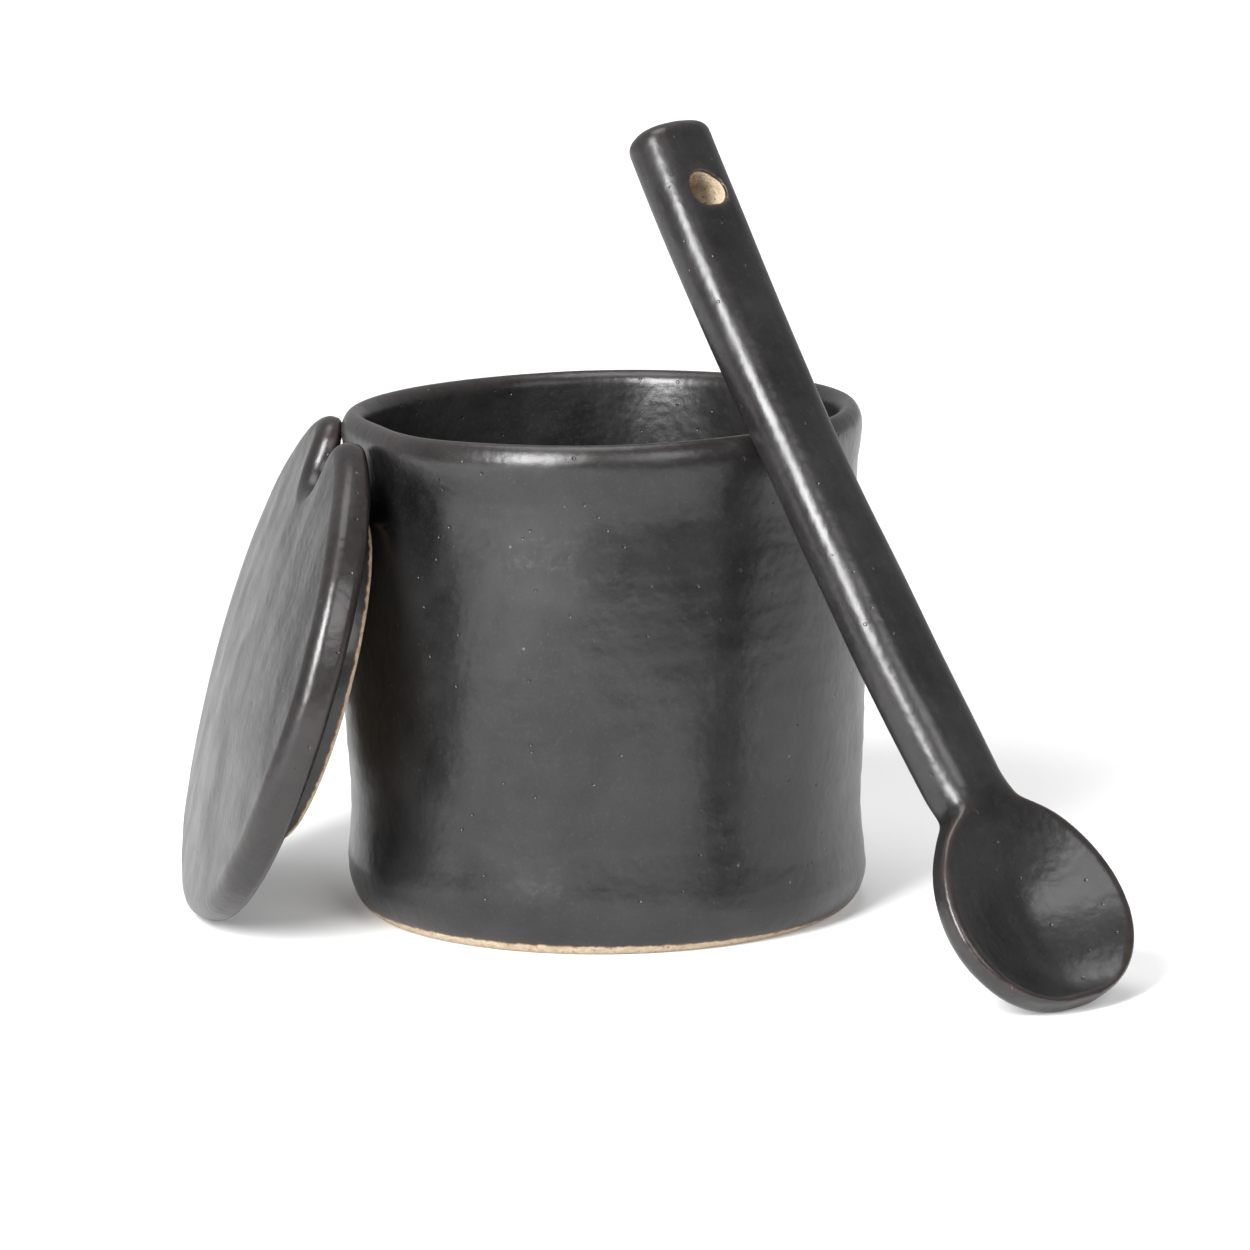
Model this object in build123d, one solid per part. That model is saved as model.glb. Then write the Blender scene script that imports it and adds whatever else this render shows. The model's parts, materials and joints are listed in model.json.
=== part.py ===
"""Sugar bowl of glazed stoneware: a round pot, its notched lid and its spoon, stood as they are shown for sale.

Millimetres. +Z is up. The origin is the centre of the pot's foot, on the table.
The lid leans on the pot's left side and the spoon leans on the front right of its rim.
"""

import os
from math import asin, cos, degrees, radians, sin, sqrt

from build123d import *

# ---- pot: driving dimensions -------------------------------------------------
RIM_RADIUS = 45.0          # widest point of the rim's outside
POT_HEIGHT = 87.4          # table to the top of the rim
RIM_DROP = 4.3             # the rim's widest point lies this far below its top
RIM_THICKNESS = 4.4        # clay at the rim, seen from above
RIM_BULGE = 0.66           # the rim's two shoulders lie this far inside its faces,
OUTER_SHOULDER = 1.29      # the outer one this far below the top,
INNER_SHOULDER = 0.73      # and the inner one this far
INNER_RIM_DROP = 2.58      # where the rim's rounding meets the inside wall
FOOT_RADIUS = 41.3         # the flat ring that touches the table
CORNER_HEIGHT = 9.0        # height of the rounded corner between foot and wall
CORNER_RADIUS = 45.5       # wall radius where that corner ends
FLOOR = 6.0                # clay under the inside
INNER_RADIUS = 40.7        # widest point of the inside, at half height
INNER_FOOT_RADIUS = 40.5   # inside radius where the inner corner starts
INNER_NECK = (39.8, 62.9)  # radius and height where the inside narrows under the rim
INNER_CORNER = 9.0         # rounding between the inside's floor and wall
# The hand-thrown wall swells and narrows a little: (radius, height) above the corner.
WALL_OUTLINE = [(44.7, 17.5), (45.3, 31.0), (45.5, 46.0), (44.8, 64.0), (44.0, 76.5)]

# ---- lid ---------------------------------------------------------------------
LID_RADIUS = 45.3
LID_EDGE = 4.4             # disc thickness at its edge
LID_CROWN = 1.2            # how much the top face rises from edge to centre
LID_EDGE_TOP = 2.6         # rounding of the upper edge
LID_EDGE_BOTTOM = 1.6      # rounding of the lower edge
SPIGOT_RADIUS = 35.5       # ring that drops inside the rim
SPIGOT_HEIGHT = 3.2
SPIGOT_ROUNDING = 0.8
NOTCH_WIDTH = 12.4         # slot in the lid's edge for the spoon's handle
NOTCH_DEPTH = 14.0
NOTCH_FLARE = 6.2          # rounding of the two lobes beside the slot
FLARE_OVERHANG = 0.4       # the rounding meets the disc's edge at a slight corner

# ---- spoon -------------------------------------------------------------------
SPOON_LENGTH = 168.0
HANDLE_WIDTH = 13.0
HANDLE_THICKNESS = 9.0
HANDLE_ROUNDING = 2.6
HANDLE_END_ROUNDING = 2.0
HANG_HOLE_RADIUS = 2.7
HANG_HOLE_FROM_END = 14.0
SCOOP_LENGTH = 38.0
SCOOP_WIDTH = 34.4
SCOOP_DEPTH = 8.0
SCOOP_WALL = 2.6
SCOOP_CAVITY_DEPTH = 5.4
TIP_FLAT = 0.9             # the scoop's end is cut blunt by this much
NECK_WIDTH = 10.0          # the handle tapers to this under the scoop
NECK_THICKNESS = 6.0

# ---- how the loose pieces stand ----------------------------------------------
LID_LEAN = 17.9            # degrees between the lid and upright
LID_TURN = 11.9            # degrees that the lid faces forward of straight left
LID_CENTRE = (-57.4, -7.5) # plan position of the centre of the disc's underside
LID_SPIN = -2.3            # degrees that the notch lies off the highest point
SPOON_LEAN = 54.8          # degrees between the handle and the table
SPOON_TURN = 131.2         # degrees in plan of the way the handle climbs
SPOON_ROLL = -5.0          # degrees that the scoop is turned about the handle
SPOON_TIP = (77.75, -86.15)  # plan position of the scoop's tip


def make_bowl():
    """The pot: one turned body, solid clay between an outer and an inner outline."""
    rim_outer = (RIM_RADIUS, POT_HEIGHT - RIM_DROP)
    rim_top = (RIM_RADIUS - RIM_THICKNESS / 2, POT_HEIGHT)
    rim_inner = (RIM_RADIUS - RIM_THICKNESS, POT_HEIGHT - INNER_RIM_DROP)
    outer_shoulder = (rim_outer[0] - RIM_BULGE, rim_top[1] - OUTER_SHOULDER)
    inner_shoulder = (rim_inner[0] + RIM_BULGE, rim_top[1] - INNER_SHOULDER)
    corner_end = (CORNER_RADIUS, CORNER_HEIGHT)
    flat_radius = INNER_FOOT_RADIUS - INNER_CORNER
    with BuildPart() as pot:
        with BuildSketch(Plane.XZ):
            with BuildLine():
                Line((0, 0), (FOOT_RADIUS, 0))
                EllipticalCenterArc(
                    (FOOT_RADIUS, CORNER_HEIGHT),
                    CORNER_RADIUS - FOOT_RADIUS,
                    CORNER_HEIGHT,
                    start_angle=270,
                    arc_size=90,
                )
                Spline(corner_end, *WALL_OUTLINE, rim_outer, tangents=[(0, 1), (0, 1)])
                ThreePointArc(rim_outer, outer_shoulder, rim_top)
                ThreePointArc(rim_top, inner_shoulder, rim_inner)
                Spline(
                    rim_inner,
                    INNER_NECK,
                    (INNER_RADIUS, POT_HEIGHT / 2),
                    (INNER_FOOT_RADIUS, FLOOR + INNER_CORNER),
                    tangents=[(0, -1), (0, -1)],
                )
                CenterArc((flat_radius, FLOOR + INNER_CORNER), INNER_CORNER, 270, 90)
                Line((flat_radius, FLOOR), (0, FLOOR))
                Line((0, FLOOR), (0, 0))
            make_face()
        revolve(axis=Axis.Z)
    return pot.part


def make_lid():
    """The lid, lying flat: disc, spigot below it, and a slot in the edge towards +X."""
    crown_radius = LID_RADIUS - LID_EDGE_TOP
    top = LID_EDGE + LID_CROWN
    dome_radius = (crown_radius**2 + LID_CROWN**2) / (2 * LID_CROWN)
    dome_angle = degrees(asin(crown_radius / dome_radius))
    turning_plane = Plane((0, 0, 0), x_dir=(-1, 0, 0), z_dir=(0, 1, 0))
    with BuildPart() as lid:
        with BuildSketch(turning_plane):
            with BuildLine():
                Polyline(
                    (0, -SPIGOT_HEIGHT),
                    (SPIGOT_RADIUS - SPIGOT_ROUNDING, -SPIGOT_HEIGHT),
                    (SPIGOT_RADIUS, SPIGOT_ROUNDING - SPIGOT_HEIGHT),
                    (SPIGOT_RADIUS, 0),
                    (LID_RADIUS - LID_EDGE_BOTTOM, 0),
                )
                CenterArc(
                    (LID_RADIUS - LID_EDGE_BOTTOM, LID_EDGE_BOTTOM), LID_EDGE_BOTTOM, 270, 90
                )
                Line((LID_RADIUS, LID_EDGE_BOTTOM), (LID_RADIUS, LID_EDGE - LID_EDGE_TOP))
                CenterArc((crown_radius, LID_EDGE - LID_EDGE_TOP), LID_EDGE_TOP, 0, 90)
                CenterArc((0, top - dome_radius), dome_radius, 90 - dome_angle, dome_angle)
                Line((0, top), (0, -SPIGOT_HEIGHT))
            make_face()
        revolve(axis=Axis.Z)
        with BuildSketch(Plane.XY.offset(-SPIGOT_HEIGHT)):
            add(notch_outline())
        extrude(amount=SPIGOT_HEIGHT + top, mode=Mode.SUBTRACT)
    return lid.part


def notch_outline():
    """Plan of the slot: parallel sides, a round end, and a mouth that flares onto the edge."""
    half = NOTCH_WIDTH / 2
    flare_y = half + NOTCH_FLARE
    flare_centre = LID_RADIUS - NOTCH_FLARE + FLARE_OVERHANG
    flare_x = sqrt(flare_centre**2 - flare_y**2)
    end_x = LID_RADIUS - NOTCH_DEPTH + half
    reach = LID_RADIUS + 1
    with BuildSketch() as slot:
        with Locations((end_x, 0)):
            Circle(half)
        with Locations(((end_x + reach) / 2, 0)):
            Rectangle(reach - end_x, NOTCH_WIDTH)
        with Locations(((flare_x + reach) / 2, 0)):
            Rectangle(reach - flare_x, 2 * flare_y)
        with Locations((flare_x, flare_y), (flare_x, -flare_y)):
            Circle(NOTCH_FLARE, mode=Mode.SUBTRACT)
    return slot.sketch


def make_spoon():
    """The spoon, lying flat: its tip at the origin, the handle along +X, its face up at Z = 0."""
    centre = SCOOP_LENGTH / 2
    neck_start = 0.45 * SCOOP_LENGTH
    neck_end = SCOOP_LENGTH + 3
    outer = scale(Sphere(1), by=(centre, SCOOP_WIDTH / 2, SCOOP_DEPTH))
    inner = scale(
        Sphere(1),
        by=(centre - SCOOP_WALL, SCOOP_WIDTH / 2 - SCOOP_WALL, SCOOP_CAVITY_DEPTH),
    )
    sides = [
        (neck_start, NECK_WIDTH, NECK_THICKNESS),
        (neck_end, HANDLE_WIDTH, HANDLE_THICKNESS),
    ]
    with BuildPart() as spoon:
        with Locations((centre, 0, 0)):
            add(outer)
        split(bisect_by=Plane.XY, keep=Keep.BOTTOM)
        for start, width, thickness in sides:
            section_plane = Plane((start, 0, -thickness / 2), x_dir=(0, 1, 0), z_dir=(1, 0, 0))
            with BuildSketch(section_plane):
                RectangleRounded(width, thickness, HANDLE_ROUNDING)
        loft()
        handle_plane = Plane((neck_end, 0, -HANDLE_THICKNESS / 2), x_dir=(0, 1, 0), z_dir=(1, 0, 0))
        with BuildSketch(handle_plane):
            RectangleRounded(HANDLE_WIDTH, HANDLE_THICKNESS, HANDLE_ROUNDING)
        extrude(amount=SPOON_LENGTH - neck_end)
        fillet(spoon.faces().sort_by(Axis.X)[-1].edges(), HANDLE_END_ROUNDING)
        with Locations((centre, 0, 0)):
            add(inner, mode=Mode.SUBTRACT)
        split(bisect_by=Plane((TIP_FLAT, 0, 0), z_dir=(1, 0, 0)), keep=Keep.TOP)
        with Locations((SPOON_LENGTH - HANG_HOLE_FROM_END, 0, 0)):
            Hole(HANG_HOLE_RADIUS)
    return spoon.part


def stand_on_table(piece):
    """Lower or raise a piece until its lowest point is on the table."""
    return Pos(0, 0, -piece.bounding_box().min.Z) * piece


def lean_lid(lid):
    """Stand the lid on its edge, leaning right, with its top face to the left and front."""
    lean = radians(LID_LEAN)
    turn = radians(LID_TURN)
    normal = Vector(-cos(lean) * cos(turn), -cos(lean) * sin(turn), sin(lean))
    climb = Vector(sin(lean) * cos(turn), sin(lean) * sin(turn), cos(lean))
    place = Plane((*LID_CENTRE, 0), x_dir=climb, z_dir=normal).location
    return stand_on_table(place * Rot(0, 0, LID_SPIN) * lid)


def lean_spoon(spoon):
    """Stand the spoon on its tip, leaning back on the rim, with its face up and to the front."""
    lean = radians(SPOON_LEAN)
    turn = radians(SPOON_TURN)
    climb = Vector(cos(lean) * cos(turn), cos(lean) * sin(turn), sin(lean))
    normal = Vector(-sin(lean) * cos(turn), -sin(lean) * sin(turn), cos(lean))
    place = Plane((*SPOON_TIP, 0), x_dir=climb, z_dir=normal).location
    return stand_on_table(place * Rot(SPOON_ROLL, 0, 0) * spoon)


def main():
    os.makedirs("parts", exist_ok=True)
    pieces = {
        "bowl": make_bowl(),
        "lid": lean_lid(make_lid()),
        "spoon": lean_spoon(make_spoon()),
    }
    for name, piece in pieces.items():
        export_step(piece, f"parts/{name}.step")


main()
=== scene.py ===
"""Glazed stoneware sugar pot with its lid and spoon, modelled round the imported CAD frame.

Each piece is shaped in millimetres in its own local frame, then set where the CAD node stands.
"""

import json
from math import atan2, cos, hypot, pi, radians, sin, sqrt

import bmesh
import bpy
import numpy as np
from mathutils import Matrix, Vector, noise


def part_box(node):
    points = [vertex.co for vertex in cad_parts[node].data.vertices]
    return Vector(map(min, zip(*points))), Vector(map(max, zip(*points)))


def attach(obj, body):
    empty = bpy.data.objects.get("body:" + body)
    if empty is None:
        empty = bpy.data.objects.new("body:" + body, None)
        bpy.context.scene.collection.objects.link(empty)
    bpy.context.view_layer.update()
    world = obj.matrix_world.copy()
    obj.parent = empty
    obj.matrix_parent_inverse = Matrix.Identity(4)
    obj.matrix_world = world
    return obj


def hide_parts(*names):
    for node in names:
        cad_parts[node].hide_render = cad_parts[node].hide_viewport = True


MM = 0.001

# ---- pot, millimetres, in the shared frame ------------------------------------
POT_SEGMENTS = 288
RIM_RADIUS = 45.4
RIM_THICKNESS = 4.4
RIM_DROP = 4.3             # height of the rim's rounding outside,
RIM_INNER_SHARE = 0.62     # and inside, as a share of that
FOOT_RADIUS = 41.3
FOOT_RING = 3.2            # width of the ring that the pot stands on
FOOT_RECESS = 0.7          # hollow inside that ring
CORNER_LEFT = 9.0          # height of the rounded bottom corner on the left
CORNER_RIGHT = 6.6         # and on the right, where the clay was pressed squarer
FLOOR = 6.0
INNER_CORNER = 9.0
RIM_LEAN = -0.2            # the hand-thrown rim sits this far left of the foot
RIM_TILT = 0.013           # and rises this much per millimetre to the right
BARE_FOOT = 1.20           # height of the unglazed clay round the foot,
BARE_FOOT_VARIES = 0.65    # give or take this much round the pot
DENT = 0.12                # a throwing ridge inside the back of the rim,
DENT_AZIMUTH = 73.0        # centred this many degrees round
DENT_HEIGHT = 80.5         # and this high,
DENT_SPREAD = (30.0, 2.3)  # over about this many degrees and millimetres each way
WALL_OUTLINE = [           # radius and height, from the bottom corner to under the rim
    (45.5, 9.0), (44.7, 17.5), (45.3, 31.0), (45.6, 46.0), (45.0, 64.0), (44.4, 76.5),
]
INNER_OUTLINE = [(39.8, 70.0), (40.6, 56.0), (40.8, 38.0), (40.4, 15.0)]
BROAD_DENTS = (0.28, 26.0)     # depth and size of the hand-pressed dents in the wall
FINE_DENTS = (0.10, 9.0)
THROWING_RINGS = (0.05, 1.35)  # depth, and radians of wave per millimetre of height
RIM_WAVES = (0.22, 30.0)       # height and length of the rim's unevenness
BARE_AZIMUTH = -118.0      # degrees round the pot where the bare foot is highest

# ---- lid, millimetres, in its own frame: +X to the notch, +Z out of its top face
LID_SEGMENTS = 420
LID_SPIN = -2.3            # degrees that the notch lies off the highest point
LID_EDGE = 6.0             # height of the disc's top edge over its underside
LID_WEDGE = 0.022          # the disc is this much thicker per millimetre towards the near side
LID_CROWN = 2.0
EDGE_TOP = (3.2, 3.0)      # upper edge rounding: how far it reaches inwards and down
EDGE_BOTTOM = (1.8, 1.7)   # lower edge rounding: inwards and up
NOTCH_HALF_WIDTH = 6.2
NOTCH_DEPTH = 14.0
NOTCH_FLARE = 6.2          # rounding of the two lobes beside the notch
NOTCH_SOFTNESS = 4         # smoothing passes along the edge
LID_NESTLE = 2.5           # the lid leans this much closer to the pot than its CAD solid
LID_AZIMUTH = 202.0        # degrees round the pot where the lid touches the rim
RIM_FLAT = 1.9             # the pot's rim is pressed in this much there, to make room,
RIM_FLAT_SPREAD = 17.0     # over about this many degrees each way
LOBE_EASE = 1.6            # the undersides of the lobes beside the notch are lifted this much
CAD_SPIGOT = 3.2           # height of the CAD spigot, which sets where the disc's underside is
SPIGOT_RADIUS = 31.0
SPIGOT_SHIFT = 1.8         # the spigot sits a little off the disc's centre
SPIGOT_HEIGHT = 5.2
SPIGOT_TAPER = 0.025       # and is this much higher per millimetre away from the notch
SPIGOT_NOTCH_GAP = 0.86    # beside the notch it reaches this share of the way to the last ring
SPIGOT_EASE = 1.2          # and is this much lower
RING_STEP = 0.7            # spacing of the rings that run in from the disc's edge
RING_EVENING = 0.3         # how far each of them is brought to even spacing along itself

# ---- spoon, millimetres, in its own frame: +X up the handle, +Z out of its face
SCOOP_LENGTH = 38.0
SCOOP_HALF_WIDTH = 17.8
SCOOP_WIDEST = 17.0        # its widest place, from the tip
SCOOP_DEPTH = 8.2
SCOOP_WALL = 2.9           # height of the wall round the scoop's edge,
TIP_WALL = 4.0             # and at its tip
SCOOP_LIP = 1.5
CAVITY_DEPTH = 6.4
CAVITY_DEEPEST = 17.0      # distance of the deepest point from the tip
CAVITY_SOFTNESS = 0.18     # 0 would be a sharp crease along the hollow, 1 a smooth bowl
CAVITY_END = 40.5          # where the hollow has run out into the handle's face
HANDLE_THICKNESS = 9.4
HANDLE_SIDE = 5.1          # below this depth the handle's sides round into its back
HANDLE_ROUNDING = 4.8
HANDLE_END = (3.0, 2.6)    # rounding of the free end: across and through
HANDLE_WIDTHS = [          # the handle's width, and the distance from the tip where it is so wide
    (13.9, 38.0), (14.4, 55.0), (14.6, 72.0), (13.9, 100.0), (15.2, 140.0), (15.4, 168.0),
]
HANDLE_BOW = 3.0           # sideways bend at the middle of the handle,
HANDLE_ARCH = 1.2          # and its bend towards the face
TIP_SWING = 0.9            # how far the scoop's tip swings aside
SPOON_NESTLE = 0.5         # the bent handle lets the spoon lean this much closer to the rim
HANG_HOLE_RADIUS = 3.4
HOLE_SHIFT = 1.1           # the hand-cut hole is this far off the CAD hole's axis
SPOON_VOXEL = 0.42

# ---- glaze and clay colours -----------------------------------------------------
GLAZE_DARK = (0.005, 0.005, 0.0052, 1)
GLAZE_PALE = (0.015, 0.015, 0.0155, 1)
GLAZE_GRAIN = (0.036, 0.035, 0.034, 1)
PIT = (0.012, 0.010, 0.010, 1)
FLECK = (0.16, 0.145, 0.13, 1)
WORN_EDGE = (0.050, 0.030, 0.027, 1)
CLAY_DARK = (0.38, 0.30, 0.205, 1)
CLAY_PALE = (0.53, 0.44, 0.33, 1)
CLAY_SPECK = (0.20, 0.11, 0.06, 1)
BURNT_LINE = (0.16, 0.075, 0.035, 1)
SHARP_EDGE = 0.45          # an edge that bulges this much per millimetre is fully worn,
EDGE_SPREAD = 3            # and wear spreads over this many mesh points each way
GLAZE_ROUGHNESS = (0.28, 0.36)
CLAY_ROUGHNESS = 0.92
GLAZE_IOR = 1.5

# ---- the set, metres ------------------------------------------------------------
CAMERA_AIM = (0.0036, 0, 0.0487)
CAMERA_DISTANCE = 1.0035
CAMERA_ELEVATION = 10.8    # degrees
CAMERA_ROLL = -0.6         # degrees
SENSOR_WIDTH = 36          # millimetres
FOCAL_LENGTH = 165.4       # millimetres
LIGHT_AIM = (0, 0, 0.05)
SOFTBOXES = [              # name, place, size, watts
    ("key_softbox", (-0.66, -1.03, 0.76), (0.46, 0.90), 43),
    ("front_softbox", (0.50, -1.00, 0.74), (0.60, 0.60), 6),
    ("top_softbox", (-0.15, 0.0, 1.35), (0.80, 0.80), 8),
]
STUDIO_RAMP = (-0.35, 0.6, 0.12, 0.54)   # backwardness of a direction, and the light from there
FLOOR_CORNERS = [(4, 4, 0), (-4, 4, 0), (-4, -2, 0), (-0.25, -0.9, 0), (0.3, -0.3, 0), (4, -0.2, 0)]
FLOOR_WHITE = 0.8
GLOW_CENTRE = (-0.20, 0.15, 0)
FLOOR_GLOW = (0.13, 1.10, 0.06, 0.80)    # distance from that centre, and the floor's glow there


# ---- small numeric helpers ------------------------------------------------------
def smoothstep(low, high, x):
    t = np.clip((x - low) / (high - low), 0.0, 1.0)
    return t * t * (3 - 2 * t)


def smooth_curve(points, at):
    """A smooth curve through a few (value, key) points, read at the keys in `at`."""
    values, keys = np.array(points, float).T
    slopes = np.gradient(values, keys)
    at = np.clip(at, keys[0], keys[-1])
    i = np.clip(np.searchsorted(keys, at) - 1, 0, len(keys) - 2)
    step = keys[i + 1] - keys[i]
    t = (at - keys[i]) / step
    h00 = 2 * t**3 - 3 * t**2 + 1
    h10 = t**3 - 2 * t**2 + t
    h01 = -2 * t**3 + 3 * t**2
    h11 = t**3 - t**2
    start = h00 * values[i] + h10 * step * slopes[i]
    return start + h01 * values[i + 1] + h11 * step * slopes[i + 1]


def degrees_from(azimuth, angles):
    """How far round each angle lies from an azimuth in degrees, from -180 to 180."""
    return np.degrees(np.angle(np.exp(1j * (angles - radians(azimuth)))))


def soft_noise(points, size, seed):
    """Perlin noise from -1 to 1 at each point; its lumps are about `size` across."""
    shift = Vector((seed * 17.3, seed * 7.1, seed * 3.7))
    return np.array([noise.noise(Vector(p) / size + shift) for p in points])


# ---- building meshes ------------------------------------------------------------
def skin(name, loops):
    """A closed surface over rings of points: quads between rings, a fan at each end."""
    count = len(loops[0])
    verts = [p for loop in loops for p in loop]
    faces = []
    for k in range(len(loops) - 1):
        for i in range(count):
            j = (i + 1) % count
            a, b = k * count, (k + 1) * count
            faces.append((a + i, a + j, b + j, b + i))
    for loop_index in (0, len(loops) - 1):
        verts.append(np.mean(loops[loop_index], axis=0))
        base, tip = loop_index * count, len(verts) - 1
        for i in range(count):
            j = (i + 1) % count
            pair = (base + j, base + i) if loop_index == 0 else (base + i, base + j)
            faces.append((*pair, tip))
    mesh = bpy.data.meshes.new(name)
    mesh.from_pydata([tuple(map(float, v)) for v in verts], [], faces)
    piece = bpy.data.objects.new(name, mesh)
    bpy.context.scene.collection.objects.link(piece)
    fix_normals(mesh)
    return piece


def fix_normals(mesh):
    bm = bmesh.new()
    bm.from_mesh(mesh)
    bmesh.ops.recalc_face_normals(bm, faces=bm.faces)
    bm.to_mesh(mesh)
    bm.free()
    mesh.shade_smooth()


def coordinates(mesh):
    out = np.empty(len(mesh.vertices) * 3)
    mesh.vertices.foreach_get("co", out)
    return out.reshape(-1, 3)


def set_coordinates(mesh, points):
    mesh.vertices.foreach_set("co", np.asarray(points, float).ravel())
    mesh.update()


def set_attribute(mesh, name, values):
    layer = mesh.attributes.new(name, "FLOAT", "POINT")
    layer.data.foreach_set("value", np.asarray(values, float))


def store_edge_wear(mesh):
    """Saves how sharply each point bulges outwards, 0 to 1: where glaze runs thin on an edge."""
    points = coordinates(mesh)
    normals = np.empty(len(mesh.vertices) * 3)
    mesh.vertices.foreach_get("normal", normals)
    normals = normals.reshape(-1, 3)
    pairs = np.empty(len(mesh.edges) * 2, int)
    mesh.edges.foreach_get("vertices", pairs)
    first, second = pairs.reshape(-1, 2).T
    step = points[second] - points[first]
    length2 = np.maximum((step**2).sum(1), 1e-9)
    bulge = np.zeros(len(points))
    share = np.zeros(len(points))
    for here, sign in ((first, -1.0), (second, 1.0)):
        np.add.at(bulge, here, sign * 2 * (step * normals[here]).sum(1) / length2)
        np.add.at(share, here, 1)
    bulge = bulge / np.maximum(share, 1)
    for _ in range(EDGE_SPREAD):
        total = bulge.copy()
        count = np.ones(len(points))
        np.add.at(total, first, bulge[second])
        np.add.at(total, second, bulge[first])
        np.add.at(count, first, 1)
        np.add.at(count, second, 1)
        bulge = total / count
    set_attribute(mesh, "edge", np.clip(bulge / SHARP_EDGE, 0.0, 1.0))


def finish_piece(piece, place, body, material):
    """Turns a piece from its local millimetres to its place, and gives it to the CAD node."""
    store_edge_wear(piece.data)
    piece.data.transform(place @ Matrix.Scale(MM, 4))
    piece.data.transform(Matrix.Translation((0, 0, -coordinates(piece.data)[:, 2].min())))
    piece.data.materials.clear()
    piece.data.materials.append(material)
    piece.data.shade_smooth()
    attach(piece, body)
    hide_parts(body)


# ---- where the CAD pieces stand ---------------------------------------------------
def node_points(frame, name):
    """Triangle corners of a CAD node in metres, with each triangle's centre and area."""
    mesh = frame["nodes"][name].data
    mesh.calc_loop_triangles()
    points = coordinates(mesh)
    corners = np.array([points[list(t.vertices)] for t in mesh.loop_triangles])
    edge_a, edge_b = corners[:, 1] - corners[:, 0], corners[:, 2] - corners[:, 0]
    areas = np.linalg.norm(np.cross(edge_a, edge_b), axis=1) / 2
    return points, corners.mean(axis=1), areas


def lift_axis(frame, joint_name):
    joint = next(j for j in frame["record"]["behaviour"]["joints"] if j["name"] == joint_name)
    return Vector(joint["axis"]).normalized()


def matrix_of(x_axis, y_axis, z_axis, origin):
    columns = Matrix((x_axis, y_axis, z_axis)).transposed().to_4x4()
    return Matrix.Translation(origin) @ columns


def lid_place(frame):
    """Local frame of the leaning lid: centre of the disc's underside, notch along +X."""
    points, _, _ = node_points(frame, "lid")
    normal = lift_axis(frame, "lid_lift")
    climb = (Vector((0, 0, 1)) - normal.z * normal).normalized()
    side = normal.cross(climb)
    across, up, out = (points @ np.array(a) for a in (side, climb, normal))
    radius = (across.max() - across.min()) / 2
    underside = out.min() + CAD_SPIGOT * MM
    centre = side * (across.max() + across.min()) / 2 + climb * (up.min() + radius)
    centre += normal * underside
    towards_pot = -Vector((normal.x, normal.y, 0)).normalized()
    spin = Matrix.Rotation(radians(LID_SPIN), 4, "Z")
    place = matrix_of(climb, side, normal, centre + towards_pot * LID_NESTLE * MM) @ spin
    return place, radius / MM


def spoon_place(frame):
    """Local frame of the leaning spoon: its tip, with the handle along +X and its face up."""
    points, centres, areas = node_points(frame, "spoon")
    face = lift_axis(frame, "spoon_lift")
    middle = (centres * areas[:, None]).sum(axis=0) / areas.sum()
    offsets = centres - middle
    spread = (offsets * areas[:, None]).T @ offsets
    along = Vector(np.linalg.eigh(spread)[1][:, 2])
    along = (along - along.dot(face) * face).normalized()
    if along.z < 0:
        along = -along
    side = face.cross(along)
    lengthwise, sideways, height = (points @ np.array(a) for a in (along, side, face))
    tip = (
        along * lengthwise.min()
        + side * (sideways.max() + sideways.min()) / 2
        + face * height.max()
    )
    tip += Vector((along.x, along.y, 0)).normalized() * SPOON_NESTLE * MM
    return matrix_of(along, side, face, tip), (lengthwise.max() - lengthwise.min()) / MM


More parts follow.
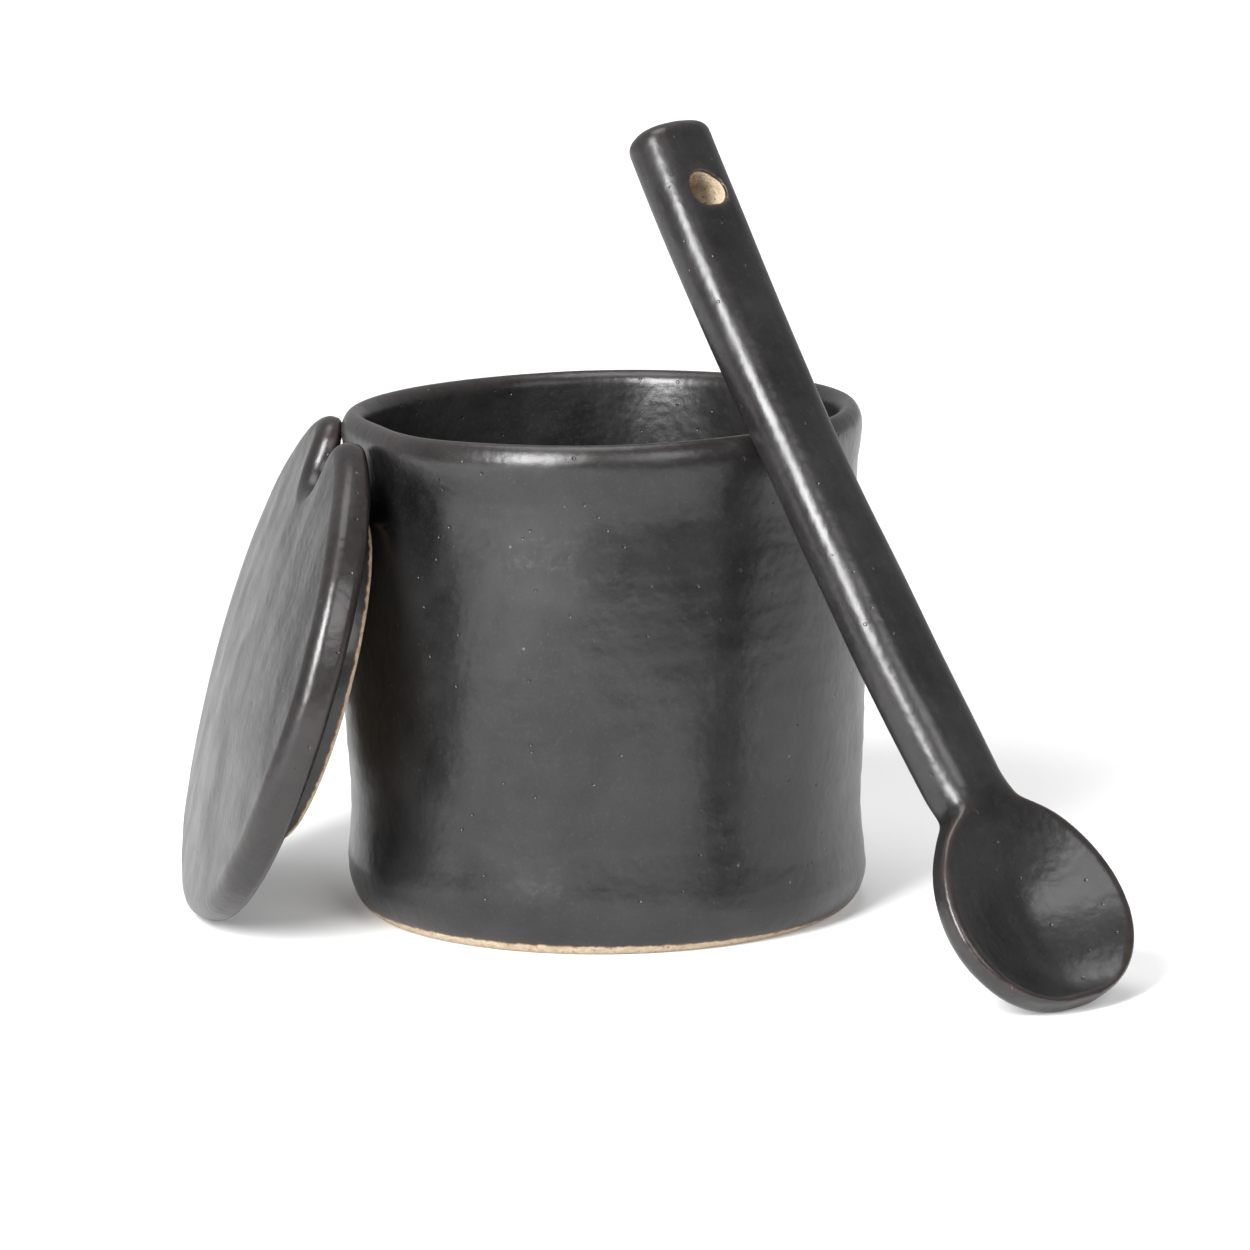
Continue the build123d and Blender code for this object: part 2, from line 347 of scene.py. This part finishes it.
# ---- the pot ------------------------------------------------------------------------
def pot_profile(height, angle):
    """(radius, height) points from the foot's middle up the outside, over the rim and down inside."""
    rightness = 0.5 + 0.5 * cos(angle)
    corner = CORNER_LEFT + (CORNER_RIGHT - CORNER_LEFT) * smoothstep(0.35, 1.0, rightness)
    wall_start, wall_level = WALL_OUTLINE[0]
    out = [(FOOT_RADIUS - FOOT_RING - 0.8, FOOT_RECESS), (FOOT_RADIUS - FOOT_RING, 0.1)]
    out += [(FOOT_RADIUS - FOOT_RING + 0.4, 0.0), (FOOT_RADIUS - 1.2, 0.0), (FOOT_RADIUS - 0.3, 0.0)]
    for t in np.linspace(0.06, pi / 2, 16):
        out.append((FOOT_RADIUS + (wall_start - FOOT_RADIUS) * sin(t), corner * (1 - cos(t))))
    rim_line = height - RIM_DROP
    outline = WALL_OUTLINE + [(RIM_RADIUS, rim_line)]
    heights = corner + (rim_line - corner) * np.linspace(0, 1, 46)[1:]
    keys = wall_level + (rim_line - wall_level) * np.linspace(0, 1, 46)[1:]
    out += list(zip(smooth_curve(outline, keys), heights))
    half = RIM_THICKNESS / 2
    for t in np.linspace(0, pi / 2, 11)[1:]:
        out.append((RIM_RADIUS - half * (1 - cos(t)), rim_line + RIM_DROP * sin(t)))
    inner_top = height - RIM_INNER_SHARE * RIM_DROP
    for t in np.linspace(0, pi / 2, 9)[1:]:
        reach = sin(t) ** 1.3
        out.append((RIM_RADIUS - half - half * reach, height - (height - inner_top) * (1 - cos(t))))
    inside = [(RIM_RADIUS - RIM_THICKNESS, -inner_top)] + [(r, -z) for r, z in INNER_OUTLINE]
    drops = np.linspace(inner_top, FLOOR + INNER_CORNER, 30)[1:]
    out += list(zip(smooth_curve(inside, -drops), drops))
    inner_radius = INNER_OUTLINE[-1][0]
    for t in np.linspace(0, pi / 2, 12)[1:]:
        shift = INNER_CORNER * (1 - cos(t))
        out.append((inner_radius - shift, FLOOR + INNER_CORNER * (1 - sin(t))))
    for r in np.linspace(inner_radius - INNER_CORNER, 1.5, 12)[1:]:
        out.append((r, FLOOR + 0.15 * sin(r * 0.9)))
    return np.array(out)


def build_pot(material):
    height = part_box("bowl")[1][2] / MM
    angles = np.linspace(0, 2 * pi, POT_SEGMENTS, endpoint=False)
    profiles = [pot_profile(height, a) for a in angles]
    loops = []
    for k in range(len(profiles[0])):
        radii = np.array([p[k][0] for p in profiles])
        heights = np.array([p[k][1] for p in profiles])
        loops.append(np.column_stack([radii * np.cos(angles), radii * np.sin(angles), heights]))
    pot = skin("sugar_pot", loops)
    points = coordinates(pot.data)
    level = np.clip(points[:, 2] / height, 0, 1)
    radial = points[:, :2] / np.maximum(np.hypot(points[:, 0], points[:, 1]), 1e-6)[:, None]
    press = BROAD_DENTS[0] * soft_noise(points * (1, 1, 0.5), BROAD_DENTS[1], 1)
    press += FINE_DENTS[0] * soft_noise(points, FINE_DENTS[1], 2)
    wave = points[:, 2] * THROWING_RINGS[1] + 0.6 * soft_noise(points, 30.0, 3)
    rings = THROWING_RINGS[0] * np.sin(wave)
    strength = smoothstep(0.0, 0.12, level)
    around = np.arctan2(points[:, 1], points[:, 0])
    from_lid = degrees_from(LID_AZIMUTH, around)
    flat = RIM_FLAT * np.exp(-((from_lid / RIM_FLAT_SPREAD) ** 2)) * smoothstep(0.5, 0.85, level)
    from_dent = degrees_from(DENT_AZIMUTH, around)
    inner = np.hypot(points[:, 0], points[:, 1]) < RIM_RADIUS - RIM_THICKNESS + 0.3
    above_dent = points[:, 2] - DENT_HEIGHT
    dent_shape = -((above_dent / DENT_SPREAD[1]) ** 2) - (from_dent / DENT_SPREAD[0]) ** 2
    dent = DENT * np.exp(dent_shape) * inner
    points[:, :2] += radial * ((press + rings) * strength - flat - dent)[:, None]
    rim_waves = RIM_WAVES[0] * soft_noise(points * (1, 1, 0), RIM_WAVES[1], 4)
    points[:, 2] += level**3 * (RIM_TILT * points[:, 0] + rim_waves)
    points[:, 0] += RIM_LEAN * level
    set_coordinates(pot.data, points)
    bare_height = BARE_FOOT + BARE_FOOT_VARIES * np.cos(around - radians(BARE_AZIMUTH))
    inside = (np.hypot(points[:, 0], points[:, 1]) < FOOT_RADIUS - 0.5) & (points[:, 2] > FLOOR - 2)
    set_attribute(pot.data, "clay", np.where(inside, -5.0, bare_height - points[:, 2]))
    finish_piece(pot, Matrix.Identity(4), "bowl", material)


# ---- the lid ------------------------------------------------------------------------
def arc(centre, radius, start, end, count):
    angles = np.linspace(start, end, count)
    return [(centre[0] + radius * cos(a), centre[1] + radius * sin(a)) for a in angles]


def lid_outline(radius):
    """The disc's edge seen from above, evenly spaced from -X round through the flared notch at +X."""
    half, flare = NOTCH_HALF_WIDTH, NOTCH_FLARE
    flare_y = half + flare
    flare_x = sqrt((radius - flare) ** 2 - flare_y**2)
    turn = atan2(flare_y, flare_x)
    end_x = radius - NOTCH_DEPTH + half
    path = arc((0, 0), radius, pi, 2 * pi - turn, 700)
    path += arc((flare_x, -flare_y), flare, -turn, pi / 2, 60)[1:]
    path += [(x, -half) for x in np.linspace(flare_x, end_x, 20)[1:]]
    path += arc((end_x, 0), half, -pi / 2, -3 * pi / 2, 60)[1:]
    path += [(x, half) for x in np.linspace(end_x, flare_x, 20)[1:]]
    path += arc((flare_x, flare_y), flare, -pi / 2, turn, 60)[1:]
    path += arc((0, 0), radius, turn, pi, 700)[1:-1]
    return even_out(evenly_spaced(np.array(path), LID_SEGMENTS), NOTCH_SOFTNESS)


def evenly_spaced(plan, count):
    """The same closed line with `count` evenly spaced points, from the same first point."""
    closed = np.vstack([plan, plan[:1]])
    run = np.concatenate([[0], np.cumsum(np.hypot(*np.diff(closed, axis=0).T))])
    even = np.linspace(0, run[-1], count, endpoint=False)
    return np.column_stack([np.interp(even, run, closed[:, i]) for i in (0, 1)])


def even_out(plan, passes):
    for _ in range(passes):
        plan = (plan + np.roll(plan, 1, axis=0) + np.roll(plan, -1, axis=0)) / 3
    return plan


def ring(plan, height):
    return np.column_stack([plan, np.broadcast_to(height, len(plan))])


def inwards(plan):
    """Unit vectors square to a ring of plan points, into the disc."""
    tangent = np.roll(plan, -1, axis=0) - np.roll(plan, 1, axis=0)
    tangent /= np.linalg.norm(tangent, axis=1)[:, None]
    return np.column_stack([-tangent[:, 1], tangent[:, 0]])


def rings_inwards(plan, count):
    """Rings at even steps into the disc; the notch's shape fades from one to the next."""
    rings = [plan]
    for _ in range(count):
        stepped = even_out(rings[-1] + RING_STEP * inwards(rings[-1]), 14)
        rings.append((1 - RING_EVENING) * stepped + RING_EVENING * evenly_spaced(stepped, len(plan)))
    return rings


def spigot_drop(plan):
    """Height of the spigot's face under the disc."""
    beside_notch = np.exp(-((plan[:, 1] / 14) ** 2)) * smoothstep(6, 26, plan[:, 0])
    return SPIGOT_HEIGHT - SPIGOT_TAPER * plan[:, 0] - SPIGOT_EASE * beside_notch


def lid_height(plan, reach):
    """Height of the slightly domed top face over points of the plan."""
    return LID_EDGE + LID_CROWN * (1 - (np.hypot(*plan.T) / reach) ** 2) - LID_WEDGE * plan[:, 1]


def build_lid(frame, material):
    place, radius = lid_place(frame)
    outline = lid_outline(radius)
    inward = inwards(outline)
    under = rings_inwards(outline + inward * EDGE_BOTTOM[0], 8)
    reach = np.hypot(*under[-1].T)
    shrink = np.minimum(SPIGOT_RADIUS, SPIGOT_NOTCH_GAP * reach) / reach
    spigot = even_out(under[-1] * shrink[:, None], 8)
    spigot[:, 0] += SPIGOT_SHIFT
    drop = spigot_drop(spigot)

    loops = [ring(spigot * k, -spigot_drop(spigot * k)) for k in np.linspace(0.02, 0.97, 16)]
    for t in np.linspace(0, pi / 2, 6):
        loops.append(ring(spigot * (1 - 0.022 * (1 - sin(t))), -drop + 0.8 * (1 - cos(t))))
    loops += [ring(spigot, -drop * k) for k in (0.55, 0.3)]
    loops.append(ring(spigot * 1.004, -0.35))
    loops.append(ring(spigot * 1.02, 0.0))
    loops += [ring(plan, 0.0) for plan in under[::-1]]
    for t in np.linspace(0, pi / 2, 9)[1:]:
        plan = outline + inward * EDGE_BOTTOM[0] * (1 - sin(t))
        loops.append(ring(plan, EDGE_BOTTOM[1] * (1 - cos(t))))
    shoulder = outline + inward * EDGE_TOP[0]
    crown_reach = radius - EDGE_TOP[0]
    edge_height = lid_height(shoulder, crown_reach)
    for t in np.linspace(0, pi / 2, 13)[1:]:
        plan = outline + inward * EDGE_TOP[0] * (1 - cos(t))
        loops.append(ring(plan, edge_height - EDGE_TOP[1] * (1 - sin(t))))
    over = rings_inwards(shoulder, 18)
    loops += [ring(plan, lid_height(plan, crown_reach)) for plan in over[1:]]
    for k in 1 - np.linspace(0, 1, 30)[1:-1]:
        loops.append(ring(over[-1] * k, lid_height(over[-1] * k, crown_reach)))
    lid = skin("sugar_lid", loops)
    points = coordinates(lid.data)
    upper = smoothstep(1.5, 4.0, points[:, 2])
    streaks = soft_noise(points * (0.35, 1.0, 1.0), 7.0, 5) * 0.16
    streaks += soft_noise(points * (0.5, 1.0, 1.0), 19.0, 6) * 0.36
    near_notch = np.exp(-((points[:, 1] / 17) ** 2)) * smoothstep(radius - 13, radius - 5, points[:, 0])
    lower = 1 - smoothstep(0.0, 4.5, points[:, 2])
    points[:, 2] += upper * streaks + LOBE_EASE * near_notch * lower
    points[:, :2] += direction_noise(points)
    set_coordinates(lid.data, points)
    set_attribute(lid.data, "clay", 0.75 - spigot_drop(points) - points[:, 2])
    finish_piece(lid, place, "lid", material)


def direction_noise(points):
    """Small in-plane unevenness of a hand-cut disc."""
    radial = points[:, :2] / np.maximum(np.hypot(points[:, 0], points[:, 1]), 1e-6)[:, None]
    return radial * (0.16 * soft_noise(points * (1, 1, 0.3), 14.0, 7))[:, None]


# ---- the spoon ----------------------------------------------------------------------
def scoop_half_width(s):
    if s < SCOOP_WIDEST:
        x, power = (SCOOP_WIDEST - s) / SCOOP_WIDEST, 2.15
    else:
        x, power = (s - SCOOP_WIDEST) / (SCOOP_LENGTH - SCOOP_WIDEST), 1.85
    return SCOOP_HALF_WIDTH * max(0.0, 1 - min(1.0, x) ** power) ** (1 / power)


def spoon_half_width(s):
    handle = float(smooth_curve(HANDLE_WIDTHS, s)) / 2
    handle *= float(smoothstep(14.0, 30.0, s))
    return (scoop_half_width(s) ** 7 + handle**7) ** (1 / 7)


def spoon_section(s, cut_across=0.0, cut_through=0.0):
    """Half a cross-section at s, from the back's middle over the edge to the middle of the face."""
    scoop = 1 - float(smoothstep(31.0, 42.0, s))
    width = max(0.3, spoon_half_width(s) - cut_across)
    tip_side = sqrt(max(0.0, 1 - min(0.0, s / CAVITY_DEEPEST - 1) ** 2))
    wall = SCOOP_WALL + (TIP_WALL - SCOOP_WALL) * (1 - float(smoothstep(0.0, 9.0, s)))
    back = wall + (SCOOP_DEPTH - wall) * tip_side
    back += (HANDLE_THICKNESS - back) * float(smoothstep(18, 42, s))
    side = HANDLE_SIDE + (wall - HANDLE_SIDE) * scoop
    rounding = HANDLE_ROUNDING + (0.9 - HANDLE_ROUNDING) * scoop
    rounding = min(rounding, 0.8 * width, side - 0.2)
    power = 3.0 - 0.9 * scoop
    half = []
    for t in np.linspace(0, pi / 2, 18):
        half.append((width * sin(t) ** (2 / power), -side - (back - side) * cos(t) ** (2 / power)))
    half += [(width, -side + (side - rounding) * k) for k in (0.3, 0.6)]
    for t in np.linspace(0, pi / 2, 9):
        half.append((width - rounding * (1 - cos(t)), -rounding * (1 - sin(t))))
    inner = max(0.1, width - max(rounding, SCOOP_LIP))
    if s < CAVITY_DEEPEST:
        towards_tip = (CAVITY_DEEPEST - s) / (CAVITY_DEEPEST - SCOOP_LIP)
        depth = CAVITY_DEPTH * sqrt(max(0.0, 1 - towards_tip**2))
    else:
        depth = CAVITY_DEPTH * (1 - float(smoothstep(CAVITY_DEEPEST, CAVITY_END, s)))
    crown, soft = 0.25 * (1 - scoop), CAVITY_SOFTNESS
    for k in np.cos(np.linspace(0, pi / 2, 16)):
        slope = (hypot(k, soft) - soft) / (hypot(1, soft) - soft)
        half.append((inner * k, -depth * (1 - slope) + crown * (1 - k**2)))
    half = np.array(half)
    middle = -back / 2
    half[:, 1] = middle + (half[:, 1] - middle) * (1 - 2 * cut_through / back)
    return half


def spoon_loop(s, length, cut_across=0.0, cut_through=0.0):
    half = spoon_section(s, cut_across, cut_through)
    loop = np.vstack([half, half[1:-1][::-1] * (-1, 1)])
    u = max(0.0, (s - SCOOP_LENGTH) / (length - SCOOP_LENGTH))
    bend = 4 * u * (1 - u)
    swing = TIP_SWING * max(0.0, 1 - s / SCOOP_LENGTH) ** 2
    sideways = loop[:, 0] + HANDLE_BOW * bend - swing
    return np.column_stack([np.full(len(loop), s), sideways, loop[:, 1] + HANDLE_ARCH * bend])


def build_spoon(frame, material):
    place, length = spoon_place(frame)
    across, through = HANDLE_END
    stations = list(0.15 + (SCOOP_LENGTH + 8) * np.linspace(0, 1, 90) ** 1.5)
    stations += list(np.linspace(SCOOP_LENGTH + 9, length - through, 110))
    loops = [spoon_loop(s, length) for s in stations]
    for t in np.linspace(0, pi / 2, 9)[1:]:
        s, cut = length - through * (1 - sin(t)), 1 - cos(t)
        loops.append(spoon_loop(s, length, across * cut, through * cut))
    spoon = skin("sugar_spoon", loops)
    points = coordinates(spoon.data)
    points[:, 2] += 0.14 * soft_noise(points, 16.0, 8)
    points[:, 1] += 0.16 * soft_noise(points, 20.0, 9)
    set_coordinates(spoon.data, points)
    hole_mount = next(m for m in frame["record"]["mounts"] if m["name"] == "hang_hole")
    hole_at = place.inverted() @ Vector(hole_mount["pos_m"]) / MM
    hole_at.y += HOLE_SHIFT
    cut_hole(spoon, hole_at)
    remesh_smooth(spoon, SPOON_VOXEL, 6)
    points = coordinates(spoon.data)
    from_axis = np.hypot(points[:, 0] - hole_at.x, points[:, 1] - hole_at.y)
    mid_depth = (HANDLE_ARCH - HANDLE_THICKNESS) / 2
    in_hole = np.abs(points[:, 2] - mid_depth) < HANDLE_THICKNESS / 2 - 0.7
    bare = np.where(in_hole, HANG_HOLE_RADIUS + 0.8 - from_axis, -6.0)
    set_attribute(spoon.data, "clay", np.clip(bare, -6.0, 6.0))
    finish_piece(spoon, place, "spoon", material)


def cut_hole(spoon, hole_at):
    """Punches the slightly uneven hanging hole through the handle's end."""
    turns = np.linspace(0, 2 * pi, 40, endpoint=False)
    loops = []
    for z in np.linspace(-16, 6, 12):
        r = HANG_HOLE_RADIUS + 0.16 * np.sin(3 * turns + 1) + 0.12 * np.sin(2 * turns + 0.2 * z)
        plan = np.column_stack([hole_at.x + r * np.cos(turns), hole_at.y + r * np.sin(turns)])
        loops.append(ring(plan, z))
    punch = skin("punch", loops)
    cut = spoon.modifiers.new("hole", "BOOLEAN")
    cut.operation = "DIFFERENCE"
    cut.solver = "EXACT"
    cut.object = punch
    apply_modifiers(spoon)
    bpy.data.objects.remove(punch)


def remesh_smooth(piece, voxel, passes):
    """Voxel remesh and smoothing: edges come out as softly rounded as glaze leaves them."""
    remesh = piece.modifiers.new("remesh", "REMESH")
    remesh.mode = "VOXEL"
    remesh.voxel_size = voxel
    smooth = piece.modifiers.new("smooth", "SMOOTH")
    smooth.factor = 0.5
    smooth.iterations = passes
    apply_modifiers(piece)


def apply_modifiers(piece):
    depsgraph = bpy.context.evaluated_depsgraph_get()
    mesh = bpy.data.meshes.new_from_object(piece.evaluated_get(depsgraph))
    old = piece.data
    piece.modifiers.clear()
    piece.data = mesh
    bpy.data.meshes.remove(old)


# ---- materials ------------------------------------------------------------------------
class Nodes:
    """Short calls for wiring a material's nodes."""

    def __init__(self, material):
        material.use_nodes = True
        self.tree = material.node_tree
        self.tree.nodes.clear()
        self.coords = self.add("ShaderNodeTexCoord").outputs["Object"]

    def add(self, kind, **settings):
        node = self.tree.nodes.new(kind)
        for key, value in settings.items():
            setattr(node, key, value)
        return node

    def put(self, socket, value):
        if isinstance(value, bpy.types.NodeSocket):
            self.tree.links.new(value, socket)
        else:
            socket.default_value = value

    def noise(self, size, detail, distortion=0.0):
        """Noise whose lumps are about `size` millimetres across."""
        texture = self.add("ShaderNodeTexNoise")
        self.put(texture.inputs["Vector"], self.coords)
        texture.inputs["Scale"].default_value = 1 / (size * MM)
        texture.inputs["Detail"].default_value = detail
        texture.inputs["Distortion"].default_value = distortion
        return texture.outputs["Fac"]

    def spots(self, spacing, size):
        """1 inside scattered round spots, 0 elsewhere; spacing and size in millimetres."""
        texture = self.add("ShaderNodeTexVoronoi")
        self.put(texture.inputs["Vector"], self.coords)
        texture.inputs["Scale"].default_value = 1 / (spacing * MM)
        texture.inputs["Randomness"].default_value = 1.0
        return self.remap(texture.outputs["Distance"], size / spacing, 0.6 * size / spacing, 0, 1)

    def remap(self, value, from_low, from_high, to_low, to_high):
        node = self.add("ShaderNodeMapRange", clamp=True)
        self.put(node.inputs["Value"], value)
        limits = {"From Min": from_low, "From Max": from_high, "To Min": to_low, "To Max": to_high}
        for name, number in limits.items():
            self.put(node.inputs[name], number)
        return node.outputs["Result"]

    def math(self, operation, a, b=0.0):
        node = self.add("ShaderNodeMath", operation=operation)
        self.put(node.inputs[0], a)
        self.put(node.inputs[1], b)
        return node.outputs[0]

    def mix(self, amount, a, b):
        node = self.add("ShaderNodeMix", data_type="RGBA")
        self.put(node.inputs["Factor"], amount)
        self.put(node.inputs["A"], a)
        self.put(node.inputs["B"], b)
        return node.outputs["Result"]

    def attribute(self, name):
        return self.add("ShaderNodeAttribute", attribute_name=name).outputs["Fac"]

    def bump(self, height, distance, previous=None):
        node = self.add("ShaderNodeBump")
        self.put(node.inputs["Height"], height)
        node.inputs["Distance"].default_value = distance
        node.inputs["Strength"].default_value = 1.0
        if previous is not None:
            self.put(node.inputs["Normal"], previous)
        return node.outputs["Normal"]


def stoneware(name):
    """Charcoal satin glaze over buff clay: cloudy, specked, brown on the edges, bare where masked."""
    material = bpy.data.materials.new(name)
    n = Nodes(material)
    cloud = n.noise(17.0, 4.0, distortion=0.6)
    mist = n.noise(5.0, 5.0)
    grain = n.noise(0.55, 3.0)
    tone = n.remap(n.math("ADD", cloud, n.math("MULTIPLY", mist, 0.5)), 0.55, 0.98, 0, 1)
    glaze = n.mix(tone, GLAZE_DARK, GLAZE_PALE)
    glaze = n.mix(n.remap(grain, 0.56, 0.75, 0, 0.35), glaze, GLAZE_GRAIN)
    pits = n.spots(3.6, 0.34)
    glaze = n.mix(n.math("MULTIPLY", pits, 0.75), glaze, PIT)
    flecks = n.spots(6.3, 0.30)
    glaze = n.mix(n.math("MULTIPLY", flecks, 0.5), glaze, FLECK)
    edge = n.attribute("edge")
    worn = n.math("MULTIPLY", edge, n.remap(n.noise(2.2, 5.0), 0.35, 0.65, 0.25, 1.0))
    glaze = n.mix(n.math("MULTIPLY", worn, 0.45), glaze, WORN_EDGE)

    ragged = n.math("MULTIPLY", n.math("SUBTRACT", n.noise(1.6, 4.0), 0.5), 0.9)
    bare = n.math("ADD", n.attribute("clay"), ragged)
    clay_mask = n.remap(bare, -0.05, 0.06, 0, 1)
    burnt = n.remap(n.math("ABSOLUTE", n.math("SUBTRACT", bare, 0.02)), 0.22, 0.03, 0, 1)
    clay = n.mix(n.remap(n.noise(1.1, 5.0), 0.35, 0.7, 0, 1), CLAY_DARK, CLAY_PALE)
    clay = n.mix(n.math("MULTIPLY", n.spots(1.3, 0.28), 0.8), clay, CLAY_SPECK)
    color = n.mix(clay_mask, glaze, clay)
    color = n.mix(n.math("MULTIPLY", burnt, 0.75), color, BURNT_LINE)

    patches = n.math("ADD", n.noise(9.0, 4.0), n.math("MULTIPLY", grain, 0.12))
    glaze_rough = n.remap(patches, 0.40, 0.75, *GLAZE_ROUGHNESS)
    roughness = n.remap(clay_mask, 0, 1, glaze_rough, CLAY_ROUGHNESS)
    fine_waves = n.math("MULTIPLY", n.noise(1.5, 3.0), 0.5)
    broad_waves = n.math("MULTIPLY", n.noise(6.0, 2.0), 1.6)
    height = n.math("ADD", fine_waves, broad_waves)
    height = n.math("SUBTRACT", height, n.math("MULTIPLY", pits, 0.9))
    normal = n.bump(height, 0.00010)
    normal = n.bump(n.math("MULTIPLY", clay_mask, n.noise(0.5, 4.0)), 0.00022, previous=normal)

    shader = n.add("ShaderNodeBsdfPrincipled")
    shader.inputs["IOR"].default_value = GLAZE_IOR
    n.put(shader.inputs["Base Color"], color)
    n.put(shader.inputs["Roughness"], roughness)
    n.put(shader.inputs["Normal"], normal)
    output = n.add("ShaderNodeOutputMaterial")
    n.put(output.inputs["Surface"], shader.outputs[0])
    return material


# ---- the set ----------------------------------------------------------------------------
def build_floor():
    """A white table top that glows evenly further out, as a lit studio sweep does."""
    mesh = bpy.data.meshes.new("floor")
    mesh.from_pydata(FLOOR_CORNERS, [], [tuple(range(len(FLOOR_CORNERS)))])
    floor = bpy.data.objects.new("floor", mesh)
    bpy.context.scene.collection.objects.link(floor)
    material = bpy.data.materials.new("floor_paper")
    n = Nodes(material)
    distance = n.add("ShaderNodeVectorMath", operation="DISTANCE")
    n.put(distance.inputs[0], n.coords)
    n.put(distance.inputs[1], GLOW_CENTRE)
    shader = n.add("ShaderNodeBsdfPrincipled")
    shader.inputs["Base Color"].default_value = (FLOOR_WHITE, FLOOR_WHITE, FLOOR_WHITE, 1)
    shader.inputs["Roughness"].default_value = 1.0
    shader.inputs["Specular IOR Level"].default_value = 0.0
    shader.inputs["Emission Color"].default_value = (1, 1, 1, 1)
    n.put(shader.inputs["Emission Strength"], n.remap(distance.outputs["Value"], *FLOOR_GLOW))
    output = n.add("ShaderNodeOutputMaterial")
    n.put(output.inputs["Surface"], shader.outputs[0])
    mesh.materials.append(material)


def area_light(name, at, size, watts):
    data = bpy.data.lights.new(name, "AREA")
    data.shape = "RECTANGLE"
    data.size, data.size_y = size
    data.energy = watts
    light = bpy.data.objects.new(name, data)
    light.location = at
    direction = Vector(LIGHT_AIM) - Vector(at)
    light.rotation_euler = direction.to_track_quat("-Z", "Y").to_euler()
    bpy.context.scene.collection.objects.link(light)


def build_world():
    """White surroundings behind and beside the object, and a dim studio in front of it."""
    world = bpy.data.worlds.new("studio")
    world.use_nodes = True
    tree = world.node_tree
    tree.nodes.clear()
    direction = tree.nodes.new("ShaderNodeTexCoord").outputs["Generated"]
    split = tree.nodes.new("ShaderNodeSeparateXYZ")
    tree.links.new(direction, split.inputs[0])
    strength = tree.nodes.new("ShaderNodeMapRange")
    tree.links.new(split.outputs["Y"], strength.inputs["Value"])
    for name, number in zip(("From Min", "From Max", "To Min", "To Max"), STUDIO_RAMP):
        strength.inputs[name].default_value = number
    seen = tree.nodes.new("ShaderNodeBackground")
    seen.inputs["Strength"].default_value = 1.0
    seen.inputs["Color"].default_value = (1, 1, 1, 1)
    lit = tree.nodes.new("ShaderNodeBackground")
    lit.inputs["Color"].default_value = (1, 1, 1, 1)
    tree.links.new(strength.outputs["Result"], lit.inputs["Strength"])
    mix = tree.nodes.new("ShaderNodeMixShader")
    rays = tree.nodes.new("ShaderNodeLightPath")
    tree.links.new(rays.outputs["Is Camera Ray"], mix.inputs[0])
    tree.links.new(lit.outputs[0], mix.inputs[1])
    tree.links.new(seen.outputs[0], mix.inputs[2])
    output = tree.nodes.new("ShaderNodeOutputWorld")
    tree.links.new(mix.outputs[0], output.inputs["Surface"])
    bpy.context.scene.world = world


def build_camera():
    """A long lens a metre away, a little above the pot, and rolled very slightly."""
    elevation, roll = radians(CAMERA_ELEVATION), radians(CAMERA_ROLL)
    aim = Vector(CAMERA_AIM)
    at = aim + CAMERA_DISTANCE * Vector((0, -cos(elevation), sin(elevation)))
    forward = (aim - at).normalized()
    right = Vector((1, 0, 0))
    up = right.cross(forward)
    tilted_right = cos(roll) * right + sin(roll) * up
    tilted_up = cos(roll) * up - sin(roll) * right
    data = bpy.data.cameras.new("camera")
    data.sensor_width = SENSOR_WIDTH
    data.lens = FOCAL_LENGTH
    data.clip_end = 50
    camera = bpy.data.objects.new("camera", data)
    camera.matrix_world = matrix_of(tilted_right, tilted_up, -forward, at)
    bpy.context.scene.collection.objects.link(camera)
    bpy.context.scene.camera = camera


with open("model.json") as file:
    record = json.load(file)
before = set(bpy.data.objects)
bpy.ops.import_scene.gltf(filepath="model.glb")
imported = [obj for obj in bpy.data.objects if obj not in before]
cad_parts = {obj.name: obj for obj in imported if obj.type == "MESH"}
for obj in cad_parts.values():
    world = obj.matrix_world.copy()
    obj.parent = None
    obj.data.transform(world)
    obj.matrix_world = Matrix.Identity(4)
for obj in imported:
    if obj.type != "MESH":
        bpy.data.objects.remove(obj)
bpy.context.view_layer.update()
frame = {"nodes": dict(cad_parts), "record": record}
build_camera()
glaze = stoneware("charcoal_stoneware")
build_pot(glaze)
build_lid(frame, glaze)
build_spoon(frame, glaze)
build_floor()
build_world()
for softbox in SOFTBOXES:
    area_light(*softbox)
bpy.context.scene.view_settings.view_transform = "Standard"
